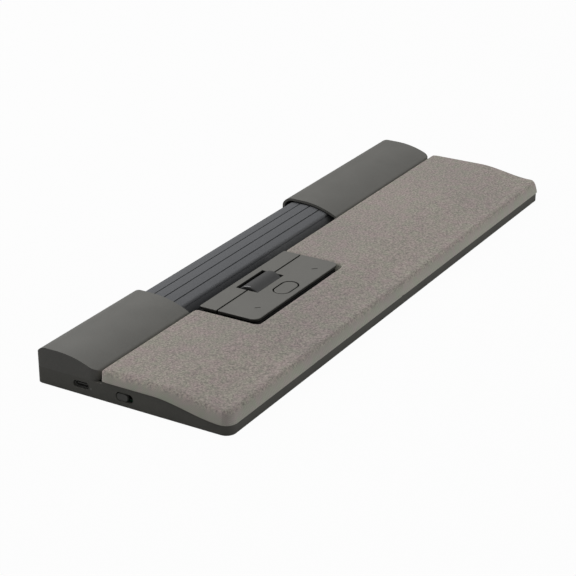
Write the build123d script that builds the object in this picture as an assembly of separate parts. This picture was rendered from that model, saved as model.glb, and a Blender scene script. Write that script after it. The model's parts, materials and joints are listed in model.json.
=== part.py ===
from build123d import *
import os
from math import cos, radians, sin

# Desk pointing bar with a wrist rest. Millimetres; x runs from the left end, y from the front edge,
# z up from the desk. Every piece is moved by ORIGIN when written: the footprint centre becomes 0, 0.

# ---- overall ----
LENGTH = 395.0
DEPTH = 124.1
BASE_BOTTOM = 0.2
ORIGIN = Pos(-LENGTH / 2, -DEPTH / 2, 0)

# ---- base tray ----
BASE_FRONT = 0.0
BASE_WALL = 2.0
BASE_FLOOR = 1.8
FLOOR_TOP = BASE_BOTTOM + BASE_FLOOR
BASE_FRONT_CORNER = 6.0
BACK_CORNER = 2.8
BASE_CHAMFER = 0.4
PARTING = 10.3
FIT_GAP = 0.15

# ---- wrist rest: its underside rises from the low front to the back along one ease curve ----
REST_BACK = 80.6
REST_FRONT_CORNER = 6.0
REST_BACK_CORNER = 1.4
REST_LOW = 6.15
REST_HIGH = 11.7
REST_RISE_START = 6.0
REST_RISE_END = 48.0
REST_TOP_LOW = 13.6
REST_TOP_HIGH = 18.2
REST_TOP_RISE_END = 43.0
CARRIER_THICK = 1.6
FABRIC_THICK = 0.8
DECK_THICK = 1.6
SEAT_GAP = 0.08
LEDGE_BACK = 83.4
APRON_BACK = 87.8
APRON_PAST = 6.0

# ---- end covers: a thin shell with one tangent chain of arcs as its side profile ----
COVER_FRONT = 83.6
COVER_TOP = 22.4
COVER_WALL = 1.6
COVER_FRONT_CORNER = 5.0
COVER_SLOPE = 26.0
COVER_FRONT_ROUND = 2.0
COVER_CREST_ROUND = 57.0
COVER_BACK_ROUND = 7.6
COVER_BACK_TURN = 65.0
COVER_HEEL_ROUND = 3.0
LEFT_COVER_END = 88.7
RIGHT_COVER_END = 259.6

# ---- sliding belt: a flat sleeve round a hollow core ----
BELT_CREST = 19.8
BELT_BOTTOM = 7.6
BELT_FRONT = 88.4
BELT_HEEL_Y = 115.1
BELT_CREST_ROUND = 54.0
BELT_CREST_TURN = 18.2
BELT_NOSE_ROUND = 2.0
BELT_FACE_STEEP = 66.0
BELT_CHIN_ROUND = 2.6
BELT_THICK = 1.2
BELT_TO_CORE = 0.3
BELT_RIBS = 11
BELT_FIRST_GROOVE_Y = 110.9
GROOVE_WIDE = 0.8
GROOVE_DEEP = 0.7
CORE_WALL = 1.6
SLIDE_TRAVEL = 20.0
BELT_OVERLAP = 4.0
BELT_LEFT = LEFT_COVER_END - SLIDE_TRAVEL - BELT_OVERLAP
BELT_RIGHT = RIGHT_COVER_END + SLIDE_TRAVEL + BELT_OVERLAP
CORE_LEFT = BELT_LEFT - SLIDE_TRAVEL - 1.0
CORE_RIGHT = BELT_RIGHT + SLIDE_TRAVEL + 1.0
CORE_PRESS = 0.7
TONGUE_FRONT, TONGUE_BACK = 96.0, 106.0
TONGUE_LOW, TONGUE_HIGH = 9.0, 15.0
TONGUE_LONG = 9.0
SPRING_SEAT = 5.9

# ---- key module in the notch of the wrist rest ----
KEY_X = 141.0
KEY_HALF = 47.3
KEY_FRONT = 41.8
KEY_BACK = 80.3
KEY_TOP = 19.1
KEY_THICK = 1.6
KEY_UNDER = KEY_TOP - KEY_THICK
SPLIT_Y = 68.2
SPLIT_GAP = 1.2
KEY_FRONT_CORNER = 4.5
KEY_BACK_CORNER = 1.5
KEY_EDGE_ROUND = 0.4
NOTCH_GAP = 2.8
NOTCH_RIGHT_GAP = 1.5
NOTCH_CORNER = 3.0
FRAME_INSET = 0.6
FRAME_WALL = 1.5
RIM_TOP = 16.3
SHELF_TOP = 14.2
TUB_BOTTOM = 3.0
TUB_FLOOR = 1.0
TUB_WALL = 1.2
TUB_LEFT, TUB_RIGHT, TUB_FRONT = 96.8, 185.2, 45.8
BAY_LEFT, BAY_RIGHT, BAY_FRONT, BAY_BACK = 126.1, 155.7, 61.1, 76.2

# ---- rocking keys ----
PIVOT_Z = 14.6
PIVOT_R = 1.0
PIVOT_CLEAR = 0.06
CLICK_PIVOTS = ((43.6, 45.0), (57.8, 59.7))
SHORTCUT_PIVOTS = ((76.7, 78.0),)
SIDE_SWITCH_X = 32.5
CLICK_SWITCH_Y = 50.3
TICK_LONG, TICK_WIDE, TICK_TURN = 3.8, 0.9, -45.0
SHORTCUT_SWITCH_Y = 74.0

# ---- speed button, a flush stadium in the click plate ----
SPEED_Y = 50.9
SPEED_LONG = 18.0
SPEED_WIDE = 9.6
SPEED_CLEAR = 0.95
SPEED_STEM_LOW = 13.8

# ---- scroll wheel ----
WHEEL_Y = 68.3
WHEEL_Z = 12.9
WHEEL_R = 8.0
WHEEL_WIDE = 27.0
TYRE_THICK = 1.6
AXLE_R = 1.25
AXLE_CLEAR = 0.05
ARM_THICK = 2.0
ARM_GAP = 0.9
CRADLE_HALF = 8.3

# ---- boards ----
KEY_BOARD_Z = 8.0
BOARD_THICK = 1.0
MAIN_BOARD_Z = 3.6
PORT_BOARD_Z = 3.4

# ---- charging port and power switch on the left end ----
PORT_Y, PORT_Z = 94.4, 6.2
PORT_LONG, PORT_HIGH = 10.4, 4.2
SHELL_LONG, SHELL_HIGH = 8.94, 3.26
SWITCH_FRONT, SWITCH_BACK = 60.5, 71.6
SWITCH_LOW, SWITCH_HIGH = 3.2, 8.4
SWITCH_CORNER = 2.4
KNOB_LONG = 7.3
KNOB_GAP = 0.2
KNOB_TOP_GAP = 0.8
LIGHT_Y, LIGHT_Z, LIGHT_R = 88.0, 5.3, 0.6

# ---- feet and screws ----
FOOT_LONG, FOOT_WIDE, FOOT_HIGH = 46.0, 9.0, 1.2
SCREW_R = 1.2
SCREW_HOLE = 1.45
SCREW_PILOT = 1.3
HEAD_R = 2.4
HEAD_HIGH = 1.0
BOSS_R = 3.2
BOSS_TOP = 6.0
REST_SCREWS = ((60, 22), (195, 22), (331, 22), (60, 66), (250, 66), (331, 66), (378, 44))
LEFT_COVER_SCREWS = ((28, 88.5), (14, 115))
RIGHT_COVER_SCREWS = ((345, 90), (320, 114.5), (380, 102))
SCREW_END = 9.2


def write(name, *pieces):
    """One STEP for one named piece, or for a group of identical loose ones."""
    solids = [ORIGIN * s for piece in pieces for s in piece.solids()]
    shape = solids[0] if len(solids) == 1 else Compound(children=solids)
    export_step(shape, f"parts/{name}.step")


def block(x0, x1, y0, y1, z0, z1):
    return Pos((x0 + x1) / 2, (y0 + y1) / 2, (z0 + z1) / 2) * Box(x1 - x0, y1 - y0, z1 - z0)


def post(x, y, z0, z1, radius):
    return Pos(x, y, (z0 + z1) / 2) * Cylinder(radius, z1 - z0)


def rod_x(x0, x1, y, z, radius):
    return Pos((x0 + x1) / 2, y, z) * Rot(0, 90, 0) * Cylinder(radius, x1 - x0)


def rod_y(x, y0, y1, z, radius):
    return Pos(x, (y0 + y1) / 2, z) * Rot(90, 0, 0) * Cylinder(radius, y1 - y0)


def along_x(section, x0, x1):
    """A section drawn in y and z, drawn out along the length."""
    return extrude(Plane.YZ.offset(x0) * section, amount=x1 - x0, dir=(1, 0, 0))


def plan(x0, x1, y0, y1, front_corner, back_corner):
    corners = [(x0, y0), (x1, y0), (x1, y1), (x0, y1)]
    radii = [front_corner, front_corner, back_corner, back_corner]
    return make_face(FilletPolyline(*corners, radius=radii, close=True))


def upright(face, z0, z1):
    return extrude(Pos(0, 0, z0) * face, amount=z1 - z0, dir=(0, 0, 1))


def stadium_x(x0, x1, y, z, long, high):
    """A stadium-shaped plug through the left end wall, long along y."""
    return along_x(Pos(y, z) * SlotOverall(long, high), x0, x1)


# ---------------------------------------------------------------- wrist rest profiles


def ease(y0, z0, y1, z1):
    """A curve that leaves z0 level and arrives at z1 level."""
    third = (y1 - y0) / 3
    return Bezier((y0, z0), (y0 + third, z0), (y1 - third, z1), (y1, z1))


def under_rest(y_end, lift=0.0, floor=-5.0):
    """Everything below the underside of the wrist rest, raised by lift, back to y_end."""
    low, high = REST_LOW + lift, REST_HIGH + lift
    outline = Line((-5, low), (REST_RISE_START, low))
    outline += ease(REST_RISE_START, low, REST_RISE_END, high)
    outline += Polyline((REST_RISE_END, high), (y_end, high), (y_end, floor), (-5, floor), (-5, low))
    return make_face(outline)


def below_rest_top(drop=0.0):
    """Everything below the top of the wrist rest, lowered by drop."""
    low, high = REST_TOP_LOW - drop, REST_TOP_HIGH - drop
    outline = Line((-5, low), (REST_RISE_START, low))
    outline += ease(REST_RISE_START, low, REST_TOP_RISE_END, high)
    outline += Polyline((REST_TOP_RISE_END, high), (100, high), (100, -5), (-5, -5), (-5, low))
    return make_face(outline)


def rest_plan(inset=0.0):
    """Outline of the wrist rest from above, with the notch for the key module open at the back."""
    left = KEY_X - KEY_HALF - NOTCH_GAP - inset
    right = KEY_X + KEY_HALF + NOTCH_RIGHT_GAP + inset
    front = KEY_FRONT - NOTCH_GAP - inset
    x0, x1, y0, y1 = inset, LENGTH - inset, inset, REST_BACK - inset
    outline = [(x0, y0), (x1, y0), (x1, y1), (right, y1), (right, front), (left, front), (left, y1), (x0, y1)]
    ends = [REST_FRONT_CORNER - inset, REST_FRONT_CORNER - inset, REST_BACK_CORNER - inset]
    mouth = NOTCH_CORNER - inset
    floor = NOTCH_CORNER + inset
    radii = [*ends, mouth, floor, floor, mouth, REST_BACK_CORNER - inset]
    return make_face(FilletPolyline(*outline, radius=radii, close=True))


def rest_body(inset, drop, lift):
    """The wrist rest's space, shrunk at the sides and top, from lift above its underside."""
    body = upright(rest_plan(inset), 0, 30) & along_x(below_rest_top(drop), 0, LENGTH)
    return body - along_x(under_rest(120, lift), -1, LENGTH + 1)


def pad_fabric():
    """The knitted skin, open underneath."""
    outer = rest_body(0, 0, SEAT_GAP)
    return outer - rest_body(FABRIC_THICK, FABRIC_THICK, -1)


def pad_foam():
    inset = FABRIC_THICK + SEAT_GAP
    return rest_body(inset, inset, CARRIER_THICK + SEAT_GAP)


def pad_carrier():
    inset = FABRIC_THICK + SEAT_GAP
    body = upright(rest_plan(inset), 0, 30) & along_x(under_rest(120, CARRIER_THICK), 0, LENGTH)
    return body - along_x(under_rest(120, SEAT_GAP), -1, LENGTH + 1)


# ---------------------------------------------------------------- base


def base_plan(inset=0.0):
    return plan(
        inset, LENGTH - inset, BASE_FRONT + inset, DEPTH - inset,
        BASE_FRONT_CORNER - inset, BACK_CORNER - inset,
    )


def foot_places():
    for row, y in (("front", 12.0), ("back", 114.0)):
        for side, x in (("left", 40.0), ("middle", LENGTH / 2), ("right", LENGTH - 40.0)):
            yield f"foot_{row}_{side}", x, y


def foot(x, y, z0, z1, grow=0.0):
    shape = SlotOverall(FOOT_LONG + 2 * grow, FOOT_WIDE + 2 * grow)
    return upright(Pos(x, y) * shape, z0, z1)


def screw_places():
    return REST_SCREWS + LEFT_COVER_SCREWS + RIGHT_COVER_SCREWS


def base_tray():
    """Floor and walls in one moulding, with screw bosses, board pegs and the left end's openings."""
    back = block(-1, LENGTH + 1, REST_BACK - 1, DEPTH + 1, -1, PARTING)
    walls = upright(base_plan(), BASE_BOTTOM, 30)
    walls = chamfer(walls.edges().group_by(Axis.Z)[0], BASE_CHAMFER)
    tray = walls & (back + along_x(under_rest(REST_BACK), -1, LENGTH + 1))
    tray -= upright(base_plan(BASE_WALL), FLOOR_TOP, 30)
    for x, y in screw_places():
        tray += post(x, y, FLOOR_TOP - 0.5, BOSS_TOP, BOSS_R)
    for x, y in main_board_pegs():
        tray += post(x, y, FLOOR_TOP - 0.5, MAIN_BOARD_Z, 2.2)
    for x, y in port_board_pegs():
        tray += post(x, y, FLOOR_TOP - 0.5, PORT_BOARD_Z, 2.2)
    for x, y in screw_places():
        tray -= post(x, y, 0, BOSS_TOP + 1, SCREW_HOLE)
        tray -= post(x, y, 0, BASE_BOTTOM + HEAD_HIGH + 0.5, HEAD_R + 0.2)
    for x, y in main_board_pegs() + port_board_pegs():
        tray -= post(x, y, FLOOR_TOP - 0.8, MAIN_BOARD_Z + 1, 0.8)
    for _, x, y in foot_places():
        tray -= foot(x, y, 0, FOOT_HIGH, 0.1)
    tray -= stadium_x(-1, BASE_WALL + 1, PORT_Y, PORT_Z, PORT_LONG, PORT_HIGH)
    switch_long = SWITCH_BACK - SWITCH_FRONT
    switch_high = SWITCH_HIGH - SWITCH_LOW
    slot = Pos((SWITCH_FRONT + SWITCH_BACK) / 2, (SWITCH_LOW + SWITCH_HIGH) / 2)
    slot = slot * RectangleRounded(switch_long, switch_high, SWITCH_CORNER)
    tray -= along_x(slot, -1, BASE_WALL + 1)
    return tray - rod_x(-1, BASE_WALL + 1, LIGHT_Y, LIGHT_Z, LIGHT_R + 0.05)


def wrist_deck():
    """Inner deck under the wrist rest, level with the tray's rim, with a low ledge and apron behind it."""
    inner = upright(base_plan(BASE_WALL + FIT_GAP), 0, 30)
    skin = along_x(under_rest(REST_BACK), 0, LENGTH)
    skin -= along_x(under_rest(REST_BACK - DECK_THICK, -DECK_THICK), -1, LENGTH + 1)
    ledge = block(0, LENGTH, REST_BACK - DECK_THICK, LEDGE_BACK, PARTING - DECK_THICK, PARTING)
    skin -= block(-1, LENGTH + 1, REST_BACK - DECK_THICK - 1, REST_BACK + 1, -6, PARTING - DECK_THICK)
    apron = block(
        LEFT_COVER_END - APRON_PAST, RIGHT_COVER_END + APRON_PAST,
        LEDGE_BACK - 1, APRON_BACK, PARTING - DECK_THICK, PARTING,
    )
    deck = inner & (skin + ledge + apron)
    for x, y in REST_SCREWS:
        deck += post(x, y, BOSS_TOP + 0.05, rest_underside(y) - 0.5, BOSS_R - 0.2)
    for x, y in REST_SCREWS:
        deck -= post(x, y, BOSS_TOP - 1, SCREW_END if rest_underside(y) > 10.5 else 7.1, SCREW_PILOT)
    tub_back = KEY_BACK - FRAME_INSET + 0.3
    return deck - block(TUB_LEFT - 0.3, TUB_RIGHT + 0.3, TUB_FRONT - 0.3, tub_back, 0, 30)


def rest_underside(y):
    t = min(1.0, max(0.0, (y - REST_RISE_START) / (REST_RISE_END - REST_RISE_START)))
    return REST_LOW + (REST_HIGH - REST_LOW) * t * t * (3 - 2 * t)


# ---------------------------------------------------------------- end covers


def cover_profile(inset):
    """Front wall, round, long rise, level crest, back round and heel, all tangent, to the parting line."""
    slope = radians(COVER_SLOPE)
    turn = radians(COVER_BACK_TURN)
    arcs = COVER_CREST_ROUND * sin(slope) + COVER_BACK_ROUND * sin(turn)
    ends = COVER_FRONT_ROUND * (1 - sin(slope)) + COVER_HEEL_ROUND * (1 - sin(turn))
    level = DEPTH - COVER_FRONT - arcs - ends
    rise = COVER_FRONT_ROUND * cos(slope) + COVER_CREST_ROUND * (1 - cos(slope))
    start = (COVER_FRONT + inset, COVER_TOP - rise)
    front = JernArc(start, (0, 1), COVER_FRONT_ROUND - inset, COVER_SLOPE - 90)
    crest = JernArc(front @ 1, front % 1, COVER_CREST_ROUND - inset, -COVER_SLOPE)
    line = Line(crest @ 1, crest @ 1 + Vector(level, 0))
    back = JernArc(line @ 1, line % 1, COVER_BACK_ROUND - inset, -COVER_BACK_TURN)
    heel = JernArc(back @ 1, back % 1, COVER_HEEL_ROUND - inset, COVER_BACK_TURN - 90)
    end = heel @ 1
    close = Polyline((end.X, end.Y), (end.X, PARTING), (start[0], PARTING), start)
    return make_face(front + crest + line + back + heel + close)


def cover_body(inset):
    outline = plan(
        inset, LENGTH - inset, COVER_FRONT + inset, DEPTH - inset,
        COVER_FRONT_CORNER - inset, BACK_CORNER - inset,
    )
    return upright(outline, PARTING, 30) & along_x(cover_profile(inset), -1, LENGTH + 1)


def cover_shell():
    return cover_body(0) - cover_body(COVER_WALL)


def with_screw_posts(cover, places):
    """Screw posts grow down from the crown of a cover to the tray's bosses."""
    for x, y in places:
        cover += post(x, y, BOSS_TOP + 0.05, COVER_TOP, BOSS_R - 0.2) & cover_space()
    for x, y in places:
        cover -= post(x, y, BOSS_TOP - 1, SCREW_END + 1, SCREW_PILOT)
    return cover


def cover_space():
    """The room under the crown, including the part below the parting line, where posts may stand."""
    return cover_body(0.4) + block(0, LENGTH, COVER_FRONT, DEPTH, BOSS_TOP, PARTING + 0.5)


def left_cover():
    shell = cover_shell() & block(-1, LEFT_COVER_END, 0, 200, 0, 40)
    return with_screw_posts(shell, LEFT_COVER_SCREWS)


def right_cover():
    shell = cover_shell() & block(RIGHT_COVER_END, LENGTH + 1, 0, 200, 0, 40)
    return with_screw_posts(shell, RIGHT_COVER_SCREWS)


# ---------------------------------------------------------------- sliding belt


def belt_edges():
    """The belt's closed line: flat bottom, round heel, level crest, long bend, steep front face, chin."""
    bend, steep = radians(BELT_CREST_TURN), radians(BELT_FACE_STEEP)
    heel_round = (BELT_CREST - BELT_BOTTOM) / 2
    nose_drop = BELT_CREST_ROUND * (1 - cos(bend)) + BELT_NOSE_ROUND * (cos(bend) - cos(steep))
    face_high = BELT_CREST - nose_drop - BELT_BOTTOM - BELT_CHIN_ROUND * (1 + cos(steep))
    face_long = face_high / sin(steep)
    reach = BELT_CREST_ROUND * sin(bend) + BELT_NOSE_ROUND * (sin(steep) - sin(bend))
    reach += face_long * cos(steep) + BELT_CHIN_ROUND * (1 - sin(steep))
    bottom = Line((BELT_FRONT + BELT_CHIN_ROUND, BELT_BOTTOM), (BELT_HEEL_Y, BELT_BOTTOM))
    heel = JernArc(bottom @ 1, bottom % 1, heel_round, 180)
    crest = Line(heel @ 1, (BELT_FRONT + reach, BELT_CREST))
    back = JernArc(crest @ 1, crest % 1, BELT_CREST_ROUND, BELT_CREST_TURN)
    nose = JernArc(back @ 1, back % 1, BELT_NOSE_ROUND, BELT_FACE_STEEP - BELT_CREST_TURN)
    face = Line(nose @ 1, nose @ 1 - Vector(cos(steep), sin(steep)) * face_long)
    chin = JernArc(face @ 1, face % 1, BELT_CHIN_ROUND, 180 - BELT_FACE_STEEP)
    return [bottom, heel, crest, back, nose, face, chin]


def belt_section(inset):
    edges = belt_edges()
    outline = edges[0]
    for edge in edges[1:]:
        outline += edge
    face = make_face(outline)
    return offset(face, -inset) if inset else face


def groove_marks():
    """Points and tangents of the rib grooves, evenly spaced all round the belt."""
    edges = belt_edges()
    around = sum(e.length for e in edges)
    start = edges[0].length + edges[1].length + BELT_HEEL_Y - BELT_FIRST_GROOVE_Y
    for rib in range(BELT_RIBS):
        left = (start + rib * around / BELT_RIBS) % around
        for edge in edges:
            if left <= edge.length:
                yield edge @ (left / edge.length), edge % (left / edge.length)
                break
            left -= edge.length


def slider_belt():
    belt = along_x(belt_section(0), BELT_LEFT, BELT_RIGHT)
    belt -= along_x(belt_section(BELT_THICK), BELT_LEFT - 1, BELT_RIGHT + 1)
    middle = (BELT_LEFT + BELT_RIGHT) / 2
    for spot, way in groove_marks():
        face = Plane((middle, spot.X, spot.Y), x_dir=(1, 0, 0), z_dir=(0, way.Y, -way.X))
        belt -= face * Box(BELT_RIGHT - BELT_LEFT + 2, GROOVE_WIDE, 2 * GROOVE_DEEP)
    return belt


def core_bar():
    inset = BELT_THICK + BELT_TO_CORE
    bar = along_x(belt_section(inset), CORE_LEFT, CORE_RIGHT)
    return bar - along_x(belt_section(inset + CORE_WALL), CORE_LEFT - 1, CORE_RIGHT + 1)


def core_end(face_x, way):
    """Stop flange, plug into the core, and the tongue that is guided up and down."""
    inset = BELT_THICK + BELT_TO_CORE + CORE_WALL
    spans = ((0, 2, 0.4), (-6, 0, inset + 0.05))
    end = None
    for near, far, shrink in spans:
        x0, x1 = sorted((face_x + way * near, face_x + way * far))
        piece = along_x(belt_section(shrink), x0, x1)
        end = piece if end is None else end + piece
    x0, x1 = sorted((face_x + way * 1.5, face_x + way * (2 + TONGUE_LONG)))
    return end + block(x0, x1, TONGUE_FRONT, TONGUE_BACK, TONGUE_LOW, TONGUE_HIGH)


def core_support(face_x, way):
    """A post on the floor with a window: the tongue rests under its top edge and can drop."""
    x0, x1 = sorted((face_x + way * 4.5, face_x + way * (TONGUE_LONG + 0.5)))
    body = block(x0, x1, TONGUE_FRONT - 2.5, TONGUE_BACK + 2.5, FLOOR_TOP, TONGUE_HIGH + 1.6)
    low = TONGUE_LOW - CORE_PRESS - 0.1
    window = block(x0 - 1, x1 + 1, TONGUE_FRONT - 0.1, TONGUE_BACK + 0.1, low, TONGUE_HIGH + 0.05)
    well = block(x0 - 1, x1 + 1, TONGUE_FRONT - 0.1, TONGUE_BACK + 0.1, SPRING_SEAT, low + 1)
    return body - window - well


def core_spring(face_x, way):
    """A bowed steel strip under the tongue."""
    x0, x1 = sorted((face_x + way * 5.5, face_x + way * 8.5))
    low, high = SPRING_SEAT + 0.05, TONGUE_LOW - 0.05
    foot_y, top_y, end_y = TONGUE_FRONT + 0.3, TONGUE_FRONT + 3.1, TONGUE_FRONT + 5.9
    outer = ThreePointArc((foot_y, low), (top_y, high), (end_y, low))
    inner = ThreePointArc((foot_y + 0.3, low), (top_y, high - 0.3), (end_y - 0.3, low))
    rim = outer + Line(outer @ 1, inner @ 1) + inner + Line(inner @ 0, outer @ 0)
    return along_x(make_face(rim), x0, x1)


def slider_switch():
    x = CORE_RIGHT + 7.0
    y = TONGUE_BACK - 2.2
    body = block(x - 1.8, x + 1.8, y - 1.6, y + 1.8, SPRING_SEAT + 0.05, 7.4)
    return body + post(x, y, 7.0, TONGUE_LOW - CORE_PRESS - 0.05, 0.9)


# ---------------------------------------------------------------- key module


def key_plan():
    return plan(
        KEY_X - KEY_HALF, KEY_X + KEY_HALF, KEY_FRONT, KEY_BACK,
        KEY_FRONT_CORNER, KEY_BACK_CORNER,
    )


def module_frame():
    """Dark surround below the keys, with a tub that carries the key board and the wheel."""
    plate = plan(
        KEY_X - KEY_HALF + FRAME_INSET, KEY_X + KEY_HALF - FRAME_INSET,
        KEY_FRONT + FRAME_INSET, KEY_BACK - FRAME_INSET,
        KEY_FRONT_CORNER - FRAME_INSET, KEY_BACK_CORNER - FRAME_INSET,
    )
    left, right = KEY_X - KEY_HALF + FRAME_INSET, KEY_X + KEY_HALF - FRAME_INSET
    front, back = KEY_FRONT + FRAME_INSET, KEY_BACK - FRAME_INSET
    frame = upright(plate, REST_HIGH + SEAT_GAP, RIM_TOP)
    shelf = (left + FRAME_WALL, right - FRAME_WALL, front + FRAME_WALL, back - FRAME_WALL)
    frame -= block(*shelf, SHELF_TOP, 30)
    frame += block(TUB_LEFT, TUB_RIGHT, TUB_FRONT, back, TUB_BOTTOM, REST_HIGH + 0.5)
    floor = TUB_BOTTOM + TUB_FLOOR
    inner = (TUB_LEFT + TUB_WALL, TUB_RIGHT - TUB_WALL, TUB_FRONT + TUB_WALL, back - FRAME_WALL)
    frame -= block(*inner, floor, 30)
    for y0, y1 in CLICK_PIVOTS[:1] + SHORTCUT_PIVOTS:
        wall = front if y0 < KEY_FRONT + 10 else back
        near, far = min(wall, y0 - 0.1), max(wall, y1 + 0.1)
        frame += block(KEY_X - 2.6, KEY_X + 2.6, near, far, REST_HIGH + 0.1, PIVOT_Z)
    y0, y1 = CLICK_PIVOTS[1]
    frame += block(KEY_X - 2.6, KEY_X + 2.6, y0 - 0.2, y1 + 0.2, floor - 0.5, PIVOT_Z)
    for y0, y1 in CLICK_PIVOTS + SHORTCUT_PIVOTS:
        frame -= rod_y(KEY_X, y0 - 0.1, y1 + 0.1, PIVOT_Z, PIVOT_R + PIVOT_CLEAR)
        frame -= block(KEY_X - 1.2, KEY_X + 1.2, y0 - 0.1, y1 + 0.1, PIVOT_Z, 30)
    for x, y in key_board_pegs():
        frame += post(x, y, floor - 0.5, KEY_BOARD_Z, 1.8)
    for x in arm_places():
        for y0 in (WHEEL_Y - CRADLE_HALF - 1.3, WHEEL_Y + CRADLE_HALF + 0.1):
            frame += block(x - 1.2, x + 1.2, y0, y0 + 1.2, floor - 0.5, 8.2)
    return frame - block(168.0, 178.0, back - FRAME_WALL - 1, back + 1, KEY_BOARD_Z - 0.7, KEY_BOARD_Z + 0.3)


def arm_places():
    half = WHEEL_WIDE / 2 + ARM_GAP + ARM_THICK / 2
    return KEY_X - half, KEY_X + half


def pivots(places):
    """Round-edged feet on which a key rocks."""
    feet = None
    for y0, y1 in places:
        foot_piece = block(KEY_X - 0.7, KEY_X + 0.7, y0, y1, PIVOT_Z, KEY_UNDER + 0.3)
        foot_piece += rod_y(KEY_X, y0, y1, PIVOT_Z, PIVOT_R)
        feet = foot_piece if feet is None else feet + foot_piece
    return feet


def pushers(y):
    pair = None
    for x in (KEY_X - SIDE_SWITCH_X, KEY_X + SIDE_SWITCH_X):
        pin = post(x, y, 14.8, KEY_UNDER + 0.3, 1.4)
        pair = pin if pair is None else pair + pin
    return pair


def key_slab():
    slab = upright(key_plan(), KEY_UNDER, KEY_TOP)
    slab = fillet(slab.edges().group_by(Axis.Z)[-1], KEY_EDGE_ROUND)
    return slab - block(BAY_LEFT, BAY_RIGHT, BAY_FRONT, BAY_BACK, 0, 30)


def click_plate():
    """Front key: left end and right end click, round the speed button."""
    key = key_slab() & block(0, LENGTH, 0, SPLIT_Y - SPLIT_GAP / 2, 0, 30)
    hole = Pos(KEY_X, SPEED_Y) * SlotOverall(SPEED_LONG + 2 * SPEED_CLEAR, SPEED_WIDE + 2 * SPEED_CLEAR)
    key -= upright(hole, 0, 30)
    for x in (KEY_X - SIDE_SWITCH_X, KEY_X + SIDE_SWITCH_X):
        outline = Pos(x, CLICK_SWITCH_Y) * Rot(0, 0, TICK_TURN) * SlotOverall(TICK_LONG, TICK_WIDE)
        tick = upright(outline, KEY_TOP - 0.3, KEY_TOP + 1)
        key -= tick
    return key + pivots(CLICK_PIVOTS) + pushers(CLICK_SWITCH_Y)


def shortcut_bar():
    """Back key, round the back of the wheel."""
    key = key_slab() & block(0, LENGTH, SPLIT_Y + SPLIT_GAP / 2, 200, 0, 30)
    return key + pivots(SHORTCUT_PIVOTS) + pushers(SHORTCUT_SWITCH_Y)


def speed_button():
    cap = upright(Pos(KEY_X, SPEED_Y) * SlotOverall(SPEED_LONG, SPEED_WIDE), 16.0, KEY_TOP)
    cap = fillet(cap.edges().group_by(Axis.Z)[-1], KEY_EDGE_ROUND)
    flange = upright(Pos(KEY_X, SPEED_Y) * SlotOverall(SPEED_LONG + 3, SPEED_WIDE - 1), 15.6, 16.4)
    return cap + flange + post(KEY_X, SPEED_Y, SPEED_STEM_LOW, 16, 1.5)


def switch_block(x, y, body_top, plunger_top):
    base = KEY_BOARD_Z + BOARD_THICK
    body = block(x - 3, x + 3, y - 2.4, y + 2.4, base, body_top)
    return body + post(x, y, body_top - 0.5, plunger_top, 1.3)


def key_board_pegs():
    return ((101, 50), (181, 50), (101, 74.6), (181, 74.6))


def key_board():
    """Circuit board in the tub, cut out round the wheel's bay."""
    back = KEY_BACK - FRAME_INSET - FRAME_WALL
    x0, x1 = TUB_LEFT + TUB_WALL + 0.2, TUB_RIGHT - TUB_WALL - 0.2
    board = block(x0, x1, TUB_FRONT + TUB_WALL + 0.2, back - 0.2, KEY_BOARD_Z, KEY_BOARD_Z + BOARD_THICK)
    return board - block(KEY_X - 17.4, KEY_X + 17.4, CLICK_PIVOTS[1][0] - 0.6, back + 1, 0, 30)


# ---------------------------------------------------------------- scroll wheel


def wheel_tyre():
    half = WHEEL_WIDE / 2
    tyre = rod_x(KEY_X - half, KEY_X + half, WHEEL_Y, WHEEL_Z, WHEEL_R)
    tyre = fillet(tyre.edges().filter_by(GeomType.CIRCLE), 0.8)
    return tyre - rod_x(KEY_X - half - 1, KEY_X + half + 1, WHEEL_Y, WHEEL_Z, WHEEL_R - TYRE_THICK)


def wheel_hub():
    """Spool inside the tyre with a raised ring at each end and a bore for the axle."""
    half = WHEEL_WIDE / 2
    hub = rod_x(KEY_X - half, KEY_X + half, WHEEL_Y, WHEEL_Z, WHEEL_R - TYRE_THICK)
    for side in (-1, 1):
        x0, x1 = sorted((KEY_X + side * (half - 0.8), KEY_X + side * (half + 1)))
        hub -= rod_x(x0, x1, WHEEL_Y, WHEEL_Z, 5.2) - rod_x(x0, x1, WHEEL_Y, WHEEL_Z, 2.6)
    return hub - rod_x(KEY_X - half - 1, KEY_X + half + 1, WHEEL_Y, WHEEL_Z, AXLE_R)


def wheel_axle():
    return rod_x(KEY_X - 17.2, KEY_X + 17.0, WHEEL_Y, WHEEL_Z, AXLE_R)


def wheel_cradle():
    """Two arms joined by low bars: holds the axle and drops when the wheel is pressed."""
    left, right = arm_places()
    low = TUB_BOTTOM + TUB_FLOOR + 0.6
    cradle = None
    for x in (left, right):
        arm = block(x - 1, x + 1, WHEEL_Y - 3.6, WHEEL_Y + 3.6, low, WHEEL_Z + 2.6)
        wing = block(x - 1, x + 1, WHEEL_Y - CRADLE_HALF, WHEEL_Y + CRADLE_HALF, low, low + 2.2)
        cradle = arm + wing if cradle is None else cradle + arm + wing
    for y0 in (WHEEL_Y - CRADLE_HALF, WHEEL_Y + CRADLE_HALF - 1.8):
        cradle += block(left - 1, right + 1, y0, y0 + 1.8, low, low + 2.2)
    cradle += block(right + 0.5, right + 7.4, WHEEL_Y - 2.5, WHEEL_Y + 2.5, WHEEL_Z - 1.0, WHEEL_Z + 0.6)
    cradle -= rod_x(right, right + 8, WHEEL_Y, WHEEL_Z, AXLE_R + AXLE_CLEAR)
    return cradle - rod_x(left - 2, right + 1.2, WHEEL_Y, WHEEL_Z, AXLE_R + AXLE_CLEAR)


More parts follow.
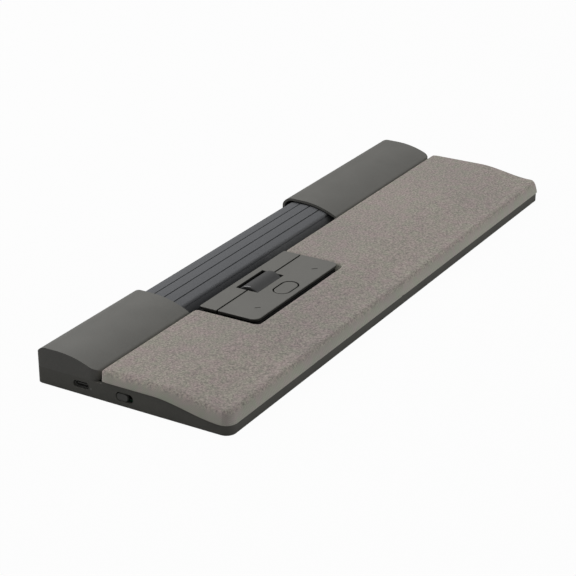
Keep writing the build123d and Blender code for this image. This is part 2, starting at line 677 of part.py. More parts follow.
def wheel_encoder():
    """Reader of the axle's turn, open at the top so that the axle can drop."""
    x1 = arm_places()[0] - ARM_THICK / 2 - 0.3
    base = KEY_BOARD_Z + BOARD_THICK
    body = block(x1 - 5.5, x1, WHEEL_Y - 4.5, WHEEL_Y + 4.5, base, WHEEL_Z + 2.8)
    slot = block(x1 - 3.0, x1 + 1, WHEEL_Y - AXLE_R - 0.3, WHEEL_Y + AXLE_R + 0.3, WHEEL_Z - AXLE_R - 0.8, 30)
    return body - slot


# ---------------------------------------------------------------- electronics


def main_board_pegs():
    return ((104, 88), (104, 114), (244, 88), (244, 114))


def main_board():
    board = block(98, 250, 84.5, 119, MAIN_BOARD_Z, MAIN_BOARD_Z + BOARD_THICK)
    for x, y in main_board_pegs():
        board -= post(x, y, 0, 30, 0.9)
    return board


def port_board_pegs():
    return ((16.5, 60), (16.5, 102))


def port_board():
    board = block(BASE_WALL + 0.4, 20, 56, 106, PORT_BOARD_Z, PORT_BOARD_Z + BOARD_THICK)
    for x, y in port_board_pegs():
        board -= post(x, y, 0, 30, 0.9)
    return board


def usb_receptacle():
    """Stadium metal shell with a tongue, a stepped collar and a closed back."""
    shell = stadium_x(1.1, 8.6, PORT_Y, PORT_Z, SHELL_LONG, SHELL_HIGH)
    shell -= stadium_x(0, 7.9, PORT_Y, PORT_Z, SHELL_LONG - 0.6, SHELL_HIGH - 0.6)
    shell += block(1.7, 8.2, PORT_Y - 3.35, PORT_Y + 3.35, PORT_Z - 0.35, PORT_Z + 0.35)
    collar = stadium_x(1.4, BASE_WALL, PORT_Y, PORT_Z, PORT_LONG - 0.1, PORT_HIGH - 0.1)
    return shell + (collar - stadium_x(1, 3, PORT_Y, PORT_Z, SHELL_LONG, SHELL_HIGH))


def power_switch_body():
    middle = (SWITCH_LOW + SWITCH_HIGH) / 2
    top = PORT_BOARD_Z + BOARD_THICK
    body = block(BASE_WALL + 0.5, 8.5, SWITCH_FRONT - 0.5, SWITCH_BACK + 0.5, top, 8.6)
    return body - block(2, 5.0, SWITCH_FRONT + 1.2, SWITCH_BACK - 1.2, middle - 0.9, middle + 0.9)


def power_knob():
    """Smooth slider, at its rear stop."""
    y0, y1 = SWITCH_BACK - KNOB_GAP - KNOB_LONG, SWITCH_BACK - KNOB_GAP
    middle = (SWITCH_LOW + SWITCH_HIGH) / 2
    low, high = SWITCH_LOW + KNOB_GAP, SWITCH_HIGH - KNOB_TOP_GAP
    outline = RectangleRounded(KNOB_LONG, high - low, (high - low) / 2 - 0.05)
    knob = along_x(Pos((y0 + y1) / 2, (low + high) / 2) * outline, 0.25, 1.9)
    knob = fillet(knob.edges().group_by(Axis.X)[0], 0.3)
    return knob + block(1.5, 4.8, y1 - 4.6, y1 - 1.2, middle - 0.75, middle + 0.75)


def status_light():
    return rod_x(0.05, 6.0, LIGHT_Y, LIGHT_Z, LIGHT_R)


def battery():
    cell = block(256, 325, 32, 68, FLOOR_TOP + 0.3, FLOOR_TOP + 4.9)
    return fillet(cell.edges().filter_by(Axis.Y), 1.2)


def optical_sensor():
    top = MAIN_BOARD_Z + BOARD_THICK
    return block(168.4, 178.4, 98, 107, top, top + 1.1)


def sensor_lens():
    top = MAIN_BOARD_Z + BOARD_THICK + 1.1
    return block(169.4, 177.4, 99, 106, top, top + 0.7) + post(173.4, 102.5, top, top + 1.0, 1.6)


def ribbon_cable():
    """Flat cable from under the key board, through the frame's back wall, down to the main board."""
    top = KEY_BOARD_Z - 0.35
    low = MAIN_BOARD_Z + BOARD_THICK
    path = [(76.6, top), (80.6, top), (83.4, low), (88.0, low)]
    upper = [(y, z + 0.3) for y, z in path]
    upper[1], upper[2] = (80.9, top + 0.3), (83.7, low + 0.3)
    return along_x(make_face(Polyline(*path, *reversed(upper), path[0])), 169.0, 177.0)


# ---------------------------------------------------------------- fasteners and feet


def housing_screw(x, y):
    end = SCREW_END if rest_underside(y) > 10.5 or y > REST_BACK else 7.0
    head = BASE_BOTTOM + 0.5
    return post(x, y, head, head + HEAD_HIGH, HEAD_R) + post(x, y, 1.5, end, SCREW_R)


def board_screw(x, y, seat):
    return post(x, y, seat, seat + 0.9, 1.5) + post(x, y, FLOOR_TOP - 0.6, seat + 0.2, 0.75)


# ---------------------------------------------------------------- everything is written here


def main():
    os.makedirs("parts", exist_ok=True)
    write("base_tray", base_tray())
    write("wrist_deck", wrist_deck())
    write("pad_carrier", pad_carrier())
    write("pad_foam", pad_foam())
    write("pad_fabric", pad_fabric())
    write("left_cover", left_cover())
    write("right_cover", right_cover())
    write("slider_belt", slider_belt())
    write("core_bar", core_bar())
    for side, face_x, way in (("left", CORE_LEFT, -1), ("right", CORE_RIGHT, 1)):
        write(f"core_end_{side}", core_end(face_x, way))
        write(f"core_support_{side}", core_support(face_x, way))
        write(f"core_spring_{side}", core_spring(face_x, way))
    write("slider_switch", slider_switch())
    write("module_frame", module_frame())
    write("click_plate", click_plate())
    write("shortcut_bar", shortcut_bar())
    write("speed_button", speed_button())
    for side, way in (("left", -1), ("right", 1)):
        x = KEY_X + way * SIDE_SWITCH_X
        write(f"click_switch_{side}", switch_block(x, CLICK_SWITCH_Y, 12.5, 14.0))
        write(f"shortcut_switch_{side}", switch_block(x, SHORTCUT_SWITCH_Y, 12.5, 14.0))
    write("speed_switch", switch_block(KEY_X, SPEED_Y, 12.0, 13.2))
    write("wheel_switch", switch_block(arm_places()[1] + 5.4, WHEEL_Y, 10.6, 11.3))
    write("key_board", key_board())
    write("wheel_tyre", wheel_tyre())
    write("wheel_hub", wheel_hub())
    write("wheel_axle", wheel_axle())
    write("wheel_cradle", wheel_cradle())
    write("wheel_encoder", wheel_encoder())
    write("main_board", main_board())
    write("port_board", port_board())
    write("usb_receptacle", usb_receptacle())
    write("power_switch_body", power_switch_body())
    write("power_knob", power_knob())
    write("status_light", status_light())
    write("battery", battery())
    write("optical_sensor", optical_sensor())
    write("sensor_lens", sensor_lens())
    write("ribbon_cable", ribbon_cable())
    write("housing_screws", *[housing_screw(x, y) for x, y in screw_places()])
    pegs = [(*p, MAIN_BOARD_Z + BOARD_THICK) for p in main_board_pegs()]
    pegs += [(*p, PORT_BOARD_Z + BOARD_THICK) for p in port_board_pegs()]
    write("board_screws", *[board_screw(*p) for p in pegs])
    for name, x, y in foot_places():
        write(name, foot(x, y, 0, FOOT_HIGH))


main()
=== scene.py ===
import json
import math

import bpy
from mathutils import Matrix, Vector
from mathutils.geometry import delaunay_2d_cdt


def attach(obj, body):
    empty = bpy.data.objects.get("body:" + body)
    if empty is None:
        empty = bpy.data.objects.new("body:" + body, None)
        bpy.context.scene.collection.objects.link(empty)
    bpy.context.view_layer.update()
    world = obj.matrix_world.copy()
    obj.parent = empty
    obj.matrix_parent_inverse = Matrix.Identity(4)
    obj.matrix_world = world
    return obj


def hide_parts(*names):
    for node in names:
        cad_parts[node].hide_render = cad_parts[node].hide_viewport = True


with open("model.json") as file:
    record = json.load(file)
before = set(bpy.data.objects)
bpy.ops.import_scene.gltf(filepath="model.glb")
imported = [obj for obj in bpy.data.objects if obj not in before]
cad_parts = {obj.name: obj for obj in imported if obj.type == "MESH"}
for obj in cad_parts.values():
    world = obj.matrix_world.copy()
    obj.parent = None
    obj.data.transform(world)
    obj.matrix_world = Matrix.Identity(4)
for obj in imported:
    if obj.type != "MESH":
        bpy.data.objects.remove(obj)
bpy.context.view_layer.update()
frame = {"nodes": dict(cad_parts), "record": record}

# ---- camera: the photograph's viewing angle ----
AZIMUTH, ELEVATION = -59.28, 24.00
AIM = Vector((-0.03904, -0.00217, 0.010))
DISTANCE = 1.03646
LENS = 108.73
SENSOR = 36.0

# ---- light: a large soft box above and behind, a weak fill at the front right, a dim surround ----
BOX_TOWARDS = (0.0, 0.616, 0.788)
BOX_AWAY, BOX_SIZE, BOX_POWER = 1.5, 1.1, 20.0
FILL_TOWARDS = (0.42, -0.80, 0.42)
FILL_AWAY, FILL_SIZE, FILL_POWER = 1.5, 0.8, 5.5
SURROUND = 0.26

# ---- floor: half its width, how pale it is to the light, and how white the camera sees it ----
FLOOR_REACH = 6.0
FLOOR_TONE = 0.34
FLOOR_WHITE = 0.97

# ---- wrist rest, in metres; x from the left end, y from the front edge, z from the desk ----
LENGTH, DEPTH = 0.395, 0.1241
REST_BACK = 0.0806
FRONT_CORNER = 0.0060
BACK_CORNER = 0.0014
NOTCH_LEFT, NOTCH_RIGHT = 0.0909, 0.1898
NOTCH_FRONT = 0.0390
NOTCH_CORNER = 0.0030
# Each profile runs from (y, height) to (y, height).
UNDER = ((0.006, 0.00615), (0.048, 0.0117))
TOP = ((0.006, 0.0142), (0.043, 0.0186))
# The side band's height, and its bulge at shares of the way down.
BAND = 0.0034
BAND_BULGE = ((0.2, 0.00015), (0.5, 0.0004), (0.8, 0.0006), (0.95, 0.0006), (1.0, 0.0002))
# Within BULGE_FADE of the back edge or the notch the bulge shrinks, down to a share of BULGE_LEAST.
BULGE_LEAST, BULGE_FADE = 0.3, 0.003
# Gap between the rest and the deck under it.
SEAT = 0.00012
# How far in from the edge the top falls away, and how deep it falls at the back and the notch.
CROWN_WIDE = 0.0027
BACK_CROWN_WIDE, BACK_CROWN_DEEP = 0.0020, 0.0009
# Slight unevenness of the top: its depth, and its waves in radians a metre.
WANDER = 0.00005
WANDER_X, WANDER_Y = 61, 83

# ---- wrist rest mesh: spacing along edges, round corners and inside, and rings in from the edge ----
EDGE_STEP = 0.0016
CORNER_STEP = 0.0005
CORNER_LEAST_STEPS = 5
GRID_STEP = 0.0040
GRID_CLEAR = 0.0012
RINGS = (0.00006, 0.00022, 0.0005, 0.0009, 0.0015, 0.0023, 0.0034, 0.0049)
RING_SLACK = 0.00002
JOIN_WITHIN = 1e-7

# ---- finishes: thread pitches in millimetres; a key is grey above KEY_FACE_Z metres and painted near black below it as shade ----
KNIT_PITCH = 0.70
TWILL_PITCH = 0.55
TRACK_PITCH_X, TRACK_PITCH_Y = 3.1, 2.3
# Painted light: how much lighter the knit's colour is made on upright faces than on level ones.
SIDE_PAINTED_LIGHT = 1.15
KEY_FACE_Z = 0.01875
# Painted shade: the colour of a key's sides below its face, standing in for the shade in the narrow
# gaps round the keys.
KEY_SIDE_PAINTED_SHADE = (0.014, 0.014, 0.013)
BLACK, WHITE = (0.0, 0.0, 0.0), (1.0, 1.0, 1.0)


# ---------------------------------------------------------------- node helpers


def new_material(name):
    """A node material, its tree and its shader."""
    material = bpy.data.materials.new(name)
    material.use_nodes = True
    tree = material.node_tree
    return material, tree, tree.nodes["Principled BSDF"]


def place(tree):
    """The point in the object's own coordinates."""
    return tree.nodes.new("ShaderNodeTexCoord").outputs["Object"]


def noise(tree, scale, detail=2.0, rough=0.5):
    """Soft random values from 0 to 1, with about scale lumps a metre."""
    node = tree.nodes.new("ShaderNodeTexNoise")
    node.inputs["Scale"].default_value = scale
    node.inputs["Detail"].default_value = detail
    node.inputs["Roughness"].default_value = rough
    tree.links.new(place(tree), node.inputs["Vector"])
    return node.outputs["Fac"]


def ramp(tree, value, low, high, a, b):
    """Colour from a to b while the value goes from low to high."""
    node = tree.nodes.new("ShaderNodeValToRGB")
    node.color_ramp.elements[0].position = low
    node.color_ramp.elements[1].position = high
    node.color_ramp.elements[0].color = (*a, 1)
    node.color_ramp.elements[1].color = (*b, 1)
    tree.links.new(value, node.inputs["Fac"])
    return node.outputs["Color"]


def times(tree, a, b):
    """The product of two colours."""
    node = tree.nodes.new("ShaderNodeMix")
    node.data_type = "RGBA"
    node.blend_type = "MULTIPLY"
    node.inputs["Factor"].default_value = 1.0
    tree.links.new(a, node.inputs["A"])
    tree.links.new(b, node.inputs["B"])
    return node.outputs["Result"]


def mixed_by(tree, share, a, b):
    """Colour a where share is 0 and b where it is 1."""
    node = tree.nodes.new("ShaderNodeMix")
    node.data_type = "RGBA"
    tree.links.new(share, node.inputs["Factor"])
    node.inputs["A"].default_value = (*a, 1)
    tree.links.new(b, node.inputs["B"])
    return node.outputs["Result"]


def sums(tree, kind, a, b):
    """Arithmetic of the named kind on two values or sockets."""
    node = tree.nodes.new("ShaderNodeMath")
    node.operation = kind
    for value, socket in ((a, node.inputs[0]), (b, node.inputs[1])):
        if isinstance(value, bpy.types.NodeSocket):
            tree.links.new(value, socket)
        else:
            socket.default_value = value
    return node.outputs[0]


def bump(tree, shader, height, strength, distance):
    """Relief on the shader's surface, distance deep in metres."""
    node = tree.nodes.new("ShaderNodeBump")
    node.inputs["Strength"].default_value = strength
    node.inputs["Distance"].default_value = distance
    tree.links.new(height, node.inputs["Height"])
    tree.links.new(node.outputs["Normal"], shader.inputs["Normal"])


def scaled(colour, factor):
    """A colour made lighter or darker."""
    return tuple(min(1.0, c * factor) for c in colour)


# ---------------------------------------------------------------- materials


def moulded(name, colour, rough, grain, depth, spread=0.06, specular=0.35):
    """Moulded plastic or rubber: a fine grain, slight unevenness of tone and gloss."""
    material, tree, shader = new_material(name)
    cloudy = noise(tree, 60.0, 3.0)
    fine = noise(tree, grain, 2.0, 0.6)
    tone = ramp(tree, cloudy, 0.3, 0.7, scaled(colour, 1 - spread), scaled(colour, 1 + spread))
    speck = ramp(tree, fine, 0.35, 0.65, (0.9, 0.9, 0.9), (1.08, 1.08, 1.08))
    tree.links.new(times(tree, tone, speck), shader.inputs["Base Color"])
    gloss = ramp(tree, fine, 0.3, 0.7, (rough - 0.05,) * 3, (rough + 0.06,) * 3)
    tree.links.new(gloss, shader.inputs["Roughness"])
    shader.inputs["Specular IOR Level"].default_value = specular
    bump(tree, shader, fine, 0.35, depth)
    return material


def key_with_painted_side_shade(name, colour):
    """Satin grey key faces; everything below the face is painted near black as the shade on the key's
    sides.
    """
    material = moulded(name, colour, 0.50, 3000.0, 0.00002, 0.03)
    tree = material.node_tree
    shader = tree.nodes["Principled BSDF"]
    split = tree.nodes.new("ShaderNodeSeparateXYZ")
    tree.links.new(place(tree), split.inputs["Vector"])
    # Painted shade: below KEY_FACE_Z the grey is swapped for near black, standing in for the shade on
    # the key's sides.
    face = sums(tree, "GREATER_THAN", split.outputs["Z"], KEY_FACE_Z)
    grey = shader.inputs["Base Color"].links[0].from_socket
    tree.links.new(mixed_by(tree, face, KEY_SIDE_PAINTED_SHADE, grey), shader.inputs["Base Color"])
    return material


def knit(name):
    """Melange weave, mottled pinkish to olive; on the sides it is stretched smooth and a little
    greener, and its colour is painted lighter the more upright the face, as painted light for the soft
    light a fuzzy band catches.
    """
    material, tree, shader = new_material(name)
    where = place(tree)
    level = levelness(tree)
    mottle = noise(tree, 130.0, 3.0, 0.6)
    warm = ramp(tree, mottle, 0.36, 0.64, (0.318, 0.268, 0.255), (0.290, 0.277, 0.237))
    broad = noise(tree, 14.0, 2.0)
    shade = ramp(tree, broad, 0.35, 0.65, (0.95, 0.95, 0.96), (1.04, 1.04, 1.03))
    yarn = noise(tree, 800.0, 3.0, 0.75)
    speckle = ramp(tree, yarn, 0.34, 0.66, (0.60, 0.60, 0.62), (1.40, 1.39, 1.36))
    on_top = ramp(tree, level, 0.30, 0.50, BLACK, WHITE)
    thread = mixed_by(tree, on_top, WHITE, speckle)
    weft = wave(tree, where, KNIT_PITCH, (0.6, 0.8, 0.5))
    warp = wave(tree, where, KNIT_PITCH, (0.8, -0.6, 0.5))
    weave = sums(tree, "MULTIPLY", weft, warp)
    dip = ramp(tree, weave, 0.0, 0.6, (0.84, 0.84, 0.84), (1.06, 1.06, 1.06))
    # Painted light: upright faces get a lighter colour so that the side band looks as lit as the top.
    painted_side_light = sums(tree, "ADD", sums(tree, "MULTIPLY", level, -SIDE_PAINTED_LIGHT), 1 + SIDE_PAINTED_LIGHT)
    tint = ramp(tree, level, 0.2, 0.6, (0.92, 1.0, 0.97), WHITE)
    colour = warm
    for layer in (shade, thread, dip, tint, painted_side_light):
        colour = times(tree, colour, layer)
    tree.links.new(colour, shader.inputs["Base Color"])
    shader.inputs["Roughness"].default_value = 0.92
    shader.inputs["Specular IOR Level"].default_value = 0.12
    shader.inputs["Sheen Weight"].default_value = 0.12
    shader.inputs["Sheen Roughness"].default_value = 0.5
    height = sums(tree, "ADD", sums(tree, "MULTIPLY", yarn, 0.7), weave)
    bump(tree, shader, height, 0.45, 0.00022)
    return material


def levelness(tree):
    """1 on a level face, falling to 0 on an upright one."""
    split = tree.nodes.new("ShaderNodeSeparateXYZ")
    surface = tree.nodes.new("ShaderNodeNewGeometry")
    tree.links.new(surface.outputs["Normal"], split.inputs["Vector"])
    return sums(tree, "MAXIMUM", split.outputs["Z"], 0.0)


def wave(tree, where, pitch, direction):
    """A ridge every pitch millimetres along a direction, from 0 to 1."""
    turn = tree.nodes.new("ShaderNodeVectorMath")
    turn.operation = "DOT_PRODUCT"
    tree.links.new(where, turn.inputs[0])
    turn.inputs[1].default_value = direction
    phase = sums(tree, "MULTIPLY", turn.outputs["Value"], 2 * math.pi * 1000 / pitch)
    ridge = sums(tree, "SINE", phase, 0.0)
    return sums(tree, "ADD", sums(tree, "MULTIPLY", ridge, 0.5), 0.5)


def ribbed(name):
    """Belt: rubber-faced textile with a tight twill."""
    material, tree, shader = new_material(name)
    where = place(tree)
    twill = wave(tree, where, TWILL_PITCH, (0.7, 0.7, 0.7))
    fine = noise(tree, 1500.0, 2.0, 0.7)
    tone = ramp(tree, fine, 0.3, 0.7, (0.104, 0.107, 0.113), (0.134, 0.137, 0.144))
    stripe = ramp(tree, twill, 0.1, 0.9, (0.88, 0.88, 0.88), (1.06, 1.06, 1.06))
    tree.links.new(times(tree, tone, stripe), shader.inputs["Base Color"])
    shader.inputs["Roughness"].default_value = 0.72
    shader.inputs["Specular IOR Level"].default_value = 0.25
    bump(tree, shader, twill, 0.3, 0.00012)
    return material


def brushed(name, colour, rough, metal=1.0):
    """Metal or metal-coloured film with a fine grain."""
    material, tree, shader = new_material(name)
    fine = noise(tree, 700.0, 3.0, 0.6)
    tone = ramp(tree, fine, 0.3, 0.7, scaled(colour, 0.88), scaled(colour, 1.08))
    tree.links.new(tone, shader.inputs["Base Color"])
    gloss = ramp(tree, fine, 0.3, 0.7, (rough - 0.07,) * 3, (rough + 0.09,) * 3)
    tree.links.new(gloss, shader.inputs["Roughness"])
    shader.inputs["Metallic"].default_value = metal
    bump(tree, shader, fine, 0.2, 0.00003)
    return material


def board_mask(name):
    """Circuit board: solder mask over faint tracks."""
    material, tree, shader = new_material(name)
    where = place(tree)
    rows = wave(tree, where, TRACK_PITCH_X, (1, 0, 0))
    columns = wave(tree, where, TRACK_PITCH_Y, (0, 1, 0))
    tracks = sums(tree, "MULTIPLY", rows, columns)
    tone = ramp(tree, tracks, 0.55, 0.7, (0.012, 0.060, 0.030), (0.030, 0.110, 0.060))
    grain = ramp(tree, noise(tree, 900.0), 0.3, 0.7, (0.9, 0.9, 0.9), (1.05, 1.05, 1.05))
    tree.links.new(times(tree, tone, grain), shader.inputs["Base Color"])
    shader.inputs["Roughness"].default_value = 0.35
    bump(tree, shader, tracks, 0.3, 0.00005)
    return material


def make_materials():
    """One material for each of the record's slots.

    A moulded one has a colour, a roughness, a grain in lumps a metre and a relief in metres, and
    then its spread of tone and its specular level where they aren't the usual ones.
    """
    return {
        "housing": moulded("housing", (0.118, 0.116, 0.104), 0.62, 2600.0, 0.00004),
        "cover": moulded("cover", (0.134, 0.132, 0.122), 0.60, 2600.0, 0.00004, 0.04),
        "key": key_with_painted_side_shade("key", (0.148, 0.145, 0.134)),
        "knob": moulded("knob", (0.125, 0.124, 0.116), 0.55, 2600.0, 0.00003),
        "inner_black": moulded("inner_black", (0.012, 0.012, 0.012), 0.75, 2000.0, 0.00004),
        "knit": knit("knit"),
        "foam": moulded("foam", (0.20, 0.20, 0.20), 0.95, 1200.0, 0.0003, 0.1, 0.1),
        "belt": ribbed("belt"),
        "core": moulded("core", (0.03, 0.03, 0.03), 0.40, 1800.0, 0.00002),
        "tyre": moulded("tyre", (0.042, 0.042, 0.042), 0.37, 2200.0, 0.00003, 0.05, 0.9),
        "steel": brushed("steel", (0.55, 0.55, 0.56), 0.35),
        "port_metal": brushed("port_metal", (0.115, 0.114, 0.108), 0.60, 0.2),
        "component": moulded("component", (0.03, 0.03, 0.03), 0.45, 1500.0, 0.00003),
        "board": board_mask("board"),
        "ribbon": moulded("ribbon", (0.72, 0.70, 0.64), 0.40, 500.0, 0.00002),
        "cell": brushed("cell", (0.60, 0.61, 0.63), 0.40, 0.6),
        "light": moulded("light", (0.20, 0.20, 0.185), 0.30, 900.0, 0.00001),
        "foot": moulded("foot", (0.03, 0.03, 0.03), 0.80, 1600.0, 0.00006),
    }


def dress_frame(materials):
    """Give each CAD node the material of its slot in the record."""
    for part in frame["record"]["subparts"]:
        mesh = frame["nodes"][part["node"]].data
        mesh.materials.clear()
        mesh.materials.append(materials[part["material_slot"]])


# ---------------------------------------------------------------- wrist rest


def ease(y, ends):
    """Height at y of a curve that is level outside its two end points."""
    (y0, z0), (y1, z1) = ends
    t = min(1.0, max(0.0, (y - y0) / (y1 - y0)))
    return z0 + (z1 - z0) * t * t * (3 - 2 * t)


def arc(start, way_in, turn, radius):
    """Points and inward normals round one corner, turning left for a turn of 1 and right for -1."""
    centre = start + Vector((-way_in.y, way_in.x)) * radius * turn
    spoke = start - centre
    steps = max(CORNER_LEAST_STEPS, round(radius * math.pi / 2 / CORNER_STEP))
    points = []
    for step in range(steps + 1):
        angle = turn * math.pi / 2 * step / steps
        out = Vector((spoke.x * math.cos(angle) - spoke.y * math.sin(angle),
                      spoke.x * math.sin(angle) + spoke.y * math.cos(angle)))
        points.append((centre + out, -out.normalized() * turn))
    return points


def rounded(corners):
    """Points round a closed outline of (x, y, radius) corners, with inward normals."""
    points = []
    for i, (*here, radius) in enumerate(corners):
        *ahead, next_radius = corners[(i + 1) % len(corners)]
        corner, after = Vector(here), Vector(ahead)
        way_in = (corner - Vector(corners[i - 1][:2])).normalized()
        way_out = (after - corner).normalized()
        turn = math.copysign(1.0, way_in.x * way_out.y - way_in.y * way_out.x)
        points += arc(corner - way_in * radius, way_in, turn, radius)
        run_start = points[-1][0]
        run_end = after - way_out * next_radius
        inward = Vector((-way_out.y, way_out.x))
        cuts = int((run_end - run_start).length / EDGE_STEP)
        points += [(run_start.lerp(run_end, cut / cuts), inward) for cut in range(1, cuts)]
    return points


def rest_corners():
    """The wrist rest's outline as (x, y, radius) corners, with the notch for the keys."""
    return (
        (0, 0, FRONT_CORNER), (LENGTH, 0, FRONT_CORNER), (LENGTH, REST_BACK, BACK_CORNER),
        (NOTCH_RIGHT, REST_BACK, NOTCH_CORNER), (NOTCH_RIGHT, NOTCH_FRONT, NOTCH_CORNER),
        (NOTCH_LEFT, NOTCH_FRONT, NOTCH_CORNER), (NOTCH_LEFT, REST_BACK, NOTCH_CORNER),
        (0, REST_BACK, BACK_CORNER),
    )


def corner_inside(across, along, radius):
    """Distance inside a rounded outward corner, from the distances inside its two edges."""
    if across < radius and along < radius:
        return radius - math.hypot(radius - across, radius - along)
    return min(across, along)


def outer_inside(x, y):
    """Distance inside the front edge and the two ends."""
    return corner_inside(min(x, LENGTH - x), y, FRONT_CORNER)


def back_inside(x, y):
    """Distance inside the back edge and the notch."""
    behind = REST_BACK - y
    aside = max(NOTCH_LEFT - x, x - NOTCH_RIGHT)
    across, along = aside + NOTCH_CORNER, NOTCH_FRONT - y + NOTCH_CORNER
    round_corner = math.hypot(max(across, 0.0), max(along, 0.0))
    notch = min(max(across, along), 0.0) + round_corner - NOTCH_CORNER
    inside = min(behind, notch)
    if aside > 0:
        return min(inside, corner_inside(aside, behind, NOTCH_CORNER))
    return inside


def rest_inside(x, y):
    """Distance inside the wrist rest's outline."""
    back_corner = corner_inside(min(x, LENGTH - x), REST_BACK - y, BACK_CORNER)
    return min(outer_inside(x, y), back_inside(x, y), back_corner)


def rest_top(x, y):
    """The crown falls away to a side band of even height, and less at the back and round the notch."""
    outer = max(0.0, 1 - outer_inside(x, y) / CROWN_WIDE)
    back = max(0.0, 1 - back_inside(x, y) / BACK_CROWN_WIDE)
    deep = ease(y, TOP) - ease(y, UNDER) - BAND
    wander = WANDER * math.sin(x * WANDER_X) * math.sin(y * WANDER_Y + 1)
    drop = math.hypot(deep * outer ** 2, BACK_CROWN_DEEP * back ** 2)
    return ease(y, TOP) - drop + wander * (1 - outer) * (1 - back)


def rest_under(y):
    """Height of the skin's underside."""
    return ease(y, UNDER) + SEAT


def rest_points(rim):
    """The rim's points, rings of points inside it and a grid over the middle."""
    flat = [point for point, _ in rim]
    for ring in RINGS:
        for point, inward in rim:
            spot = point + inward * ring
            if abs(rest_inside(spot.x, spot.y) - ring) < RING_SLACK:
                flat.append(spot)
    across, along = int(LENGTH / GRID_STEP), int(REST_BACK / GRID_STEP)
    for i in range(1, across):
        for j in range(1, along):
            spot = Vector((i * LENGTH / across, j * REST_BACK / along))
            if rest_inside(spot.x, spot.y) > RINGS[-1] + GRID_CLEAR:
                flat.append(spot)
    return flat


def add_band(rim, first, verts, faces):
    """Side band from the rim's loop of vertices down to the underside. Returns the lowest loop."""
    count = len(rim)
    upper = first
    for share, bulge in BAND_BULGE:
        lower = []
        for (point, inward), top in zip(rim, first):
            high, low = verts[top][2], rest_under(point.y)
            outward = min(1.0, max(BULGE_LEAST, back_inside(point.x, point.y) / BULGE_FADE))
            spot = point - inward * bulge * outward
            lower.append(len(verts))
            verts.append((spot.x, spot.y, high + (low - high) * share))
        for i in range(count):
            j = (i + 1) % count
            faces.append((upper[j], upper[i], lower[i], lower[j]))
        upper = lower
    return upper


def rest_solid():
    """Vertices and faces of the crown, the side band and the underside."""
    rim = rounded(rest_corners())
    count = len(rim)
    border = [(i, (i + 1) % count) for i in range(count)]
    points, _, crown, origin, _, _ = delaunay_2d_cdt(
        rest_points(rim), border, [list(range(count))], 1, JOIN_WITHIN)
    source = [made_from[0] for made_from in origin]
    place_of = {given: i for i, given in enumerate(source)}
    verts = [(p.x, p.y, rest_top(p.x, p.y)) for p in points]
    faces = [tuple(face) for face in crown]
    lowest = add_band(rim, [place_of[i] for i in range(count)], verts, faces)
    under = []
    for given, p in zip(source, points):
        if given < count:
            under.append(lowest[given])
        else:
            under.append(len(verts))
            verts.append((p.x, p.y, rest_under(p.y)))
    faces += [tuple(under[i] for i in reversed(face)) for face in crown]
    return verts, faces


def make_rest(material):
    """The knitted wrist rest: soft crown, side band that bulges a little, closed underneath."""
    verts, faces = rest_solid()
    mesh = bpy.data.meshes.new("wrist_rest_skin")
    mesh.from_pydata([(x - LENGTH / 2, y - DEPTH / 2, z) for x, y, z in verts], [], faces)
    mesh.validate()
    mesh.update()
    for polygon in mesh.polygons:
        polygon.use_smooth = True
    mesh.materials.append(material)
    skin = bpy.data.objects.new("wrist_rest_skin", mesh)
    bpy.context.scene.collection.objects.link(skin)
    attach(skin, "base")
    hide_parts("pad_fabric", "pad_foam")


# ---------------------------------------------------------------- studio


def add_camera():
    """The camera at the photograph's viewing angle."""
    turn, rise = math.radians(AZIMUTH), math.radians(ELEVATION)
    level = math.cos(rise)
    back = Vector((math.sin(turn) * level, -math.cos(turn) * level, math.sin(rise)))
    data = bpy.data.cameras.new("camera")
    data.lens = LENS
    data.sensor_width = SENSOR
    camera = bpy.data.objects.new("camera", data)
    camera.location = AIM + back * DISTANCE
    camera.rotation_mode = "QUATERNION"
    camera.rotation_quaternion = (-back).to_track_quat("-Z", "Y")
    bpy.context.scene.collection.objects.link(camera)
    bpy.context.scene.camera = camera


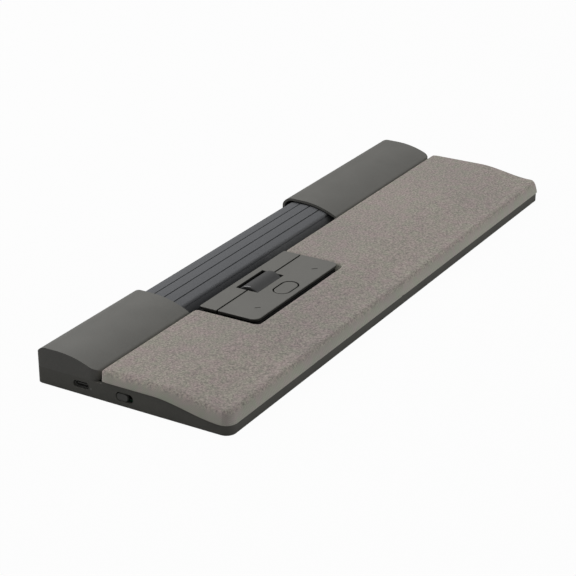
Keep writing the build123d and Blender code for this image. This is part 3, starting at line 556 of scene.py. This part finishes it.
def add_box(name, towards, away, size, power):
    """A square soft light aimed at the object."""
    direction = Vector(towards).normalized()
    data = bpy.data.lights.new(name, "AREA")
    data.shape = "SQUARE"
    data.size = size
    data.energy = power
    light = bpy.data.objects.new(name, data)
    light.location = direction * away
    light.rotation_mode = "QUATERNION"
    light.rotation_quaternion = (-direction).to_track_quat("-Z", "Y")
    bpy.context.scene.collection.objects.link(light)


def add_light():
    """The soft box, the fill and the surround."""
    add_box("soft_box", BOX_TOWARDS, BOX_AWAY, BOX_SIZE, BOX_POWER)
    add_box("front_fill", FILL_TOWARDS, FILL_AWAY, FILL_SIZE, FILL_POWER)
    world = bpy.data.worlds.new("world")
    world.use_nodes = True
    surround = world.node_tree.nodes["Background"]
    surround.inputs["Color"].default_value = (1, 1, 1, 1)
    surround.inputs["Strength"].default_value = SURROUND
    bpy.context.scene.world = world
    bpy.context.scene.view_settings.view_transform = "Standard"


def add_floor():
    """A plain pale floor that the camera sees as near white and that throws little light back."""
    material, tree, shader = new_material("floor")
    shader.inputs["Base Color"].default_value = (FLOOR_TONE, FLOOR_TONE, FLOOR_TONE, 1)
    shader.inputs["Roughness"].default_value = 0.9
    shader.inputs["Specular IOR Level"].default_value = 0.0
    glow = tree.nodes.new("ShaderNodeEmission")
    glow.inputs["Strength"].default_value = 1.0
    path = tree.nodes.new("ShaderNodeLightPath")
    blend = tree.nodes.new("ShaderNodeMixShader")
    share = sums(tree, "MULTIPLY", path.outputs["Is Camera Ray"], FLOOR_WHITE)
    tree.links.new(share, blend.inputs["Fac"])
    tree.links.new(shader.outputs["BSDF"], blend.inputs[1])
    tree.links.new(glow.outputs["Emission"], blend.inputs[2])
    tree.links.new(blend.outputs["Shader"], tree.nodes["Material Output"].inputs["Surface"])
    mesh = bpy.data.meshes.new("floor")
    near, far = -FLOOR_REACH, FLOOR_REACH
    corners = [(near, near, 0), (far, near, 0), (far, far, 0), (near, far, 0)]
    mesh.from_pydata(corners, [], [(0, 1, 2, 3)])
    mesh.materials.append(material)
    floor = bpy.data.objects.new("floor", mesh)
    bpy.context.scene.collection.objects.link(floor)


# ---------------------------------------------------------------- everything


def main():
    """Dress the CAD nodes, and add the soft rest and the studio."""
    materials = make_materials()
    dress_frame(materials)
    make_rest(materials["knit"])
    add_floor()
    add_light()
    add_camera()


main()
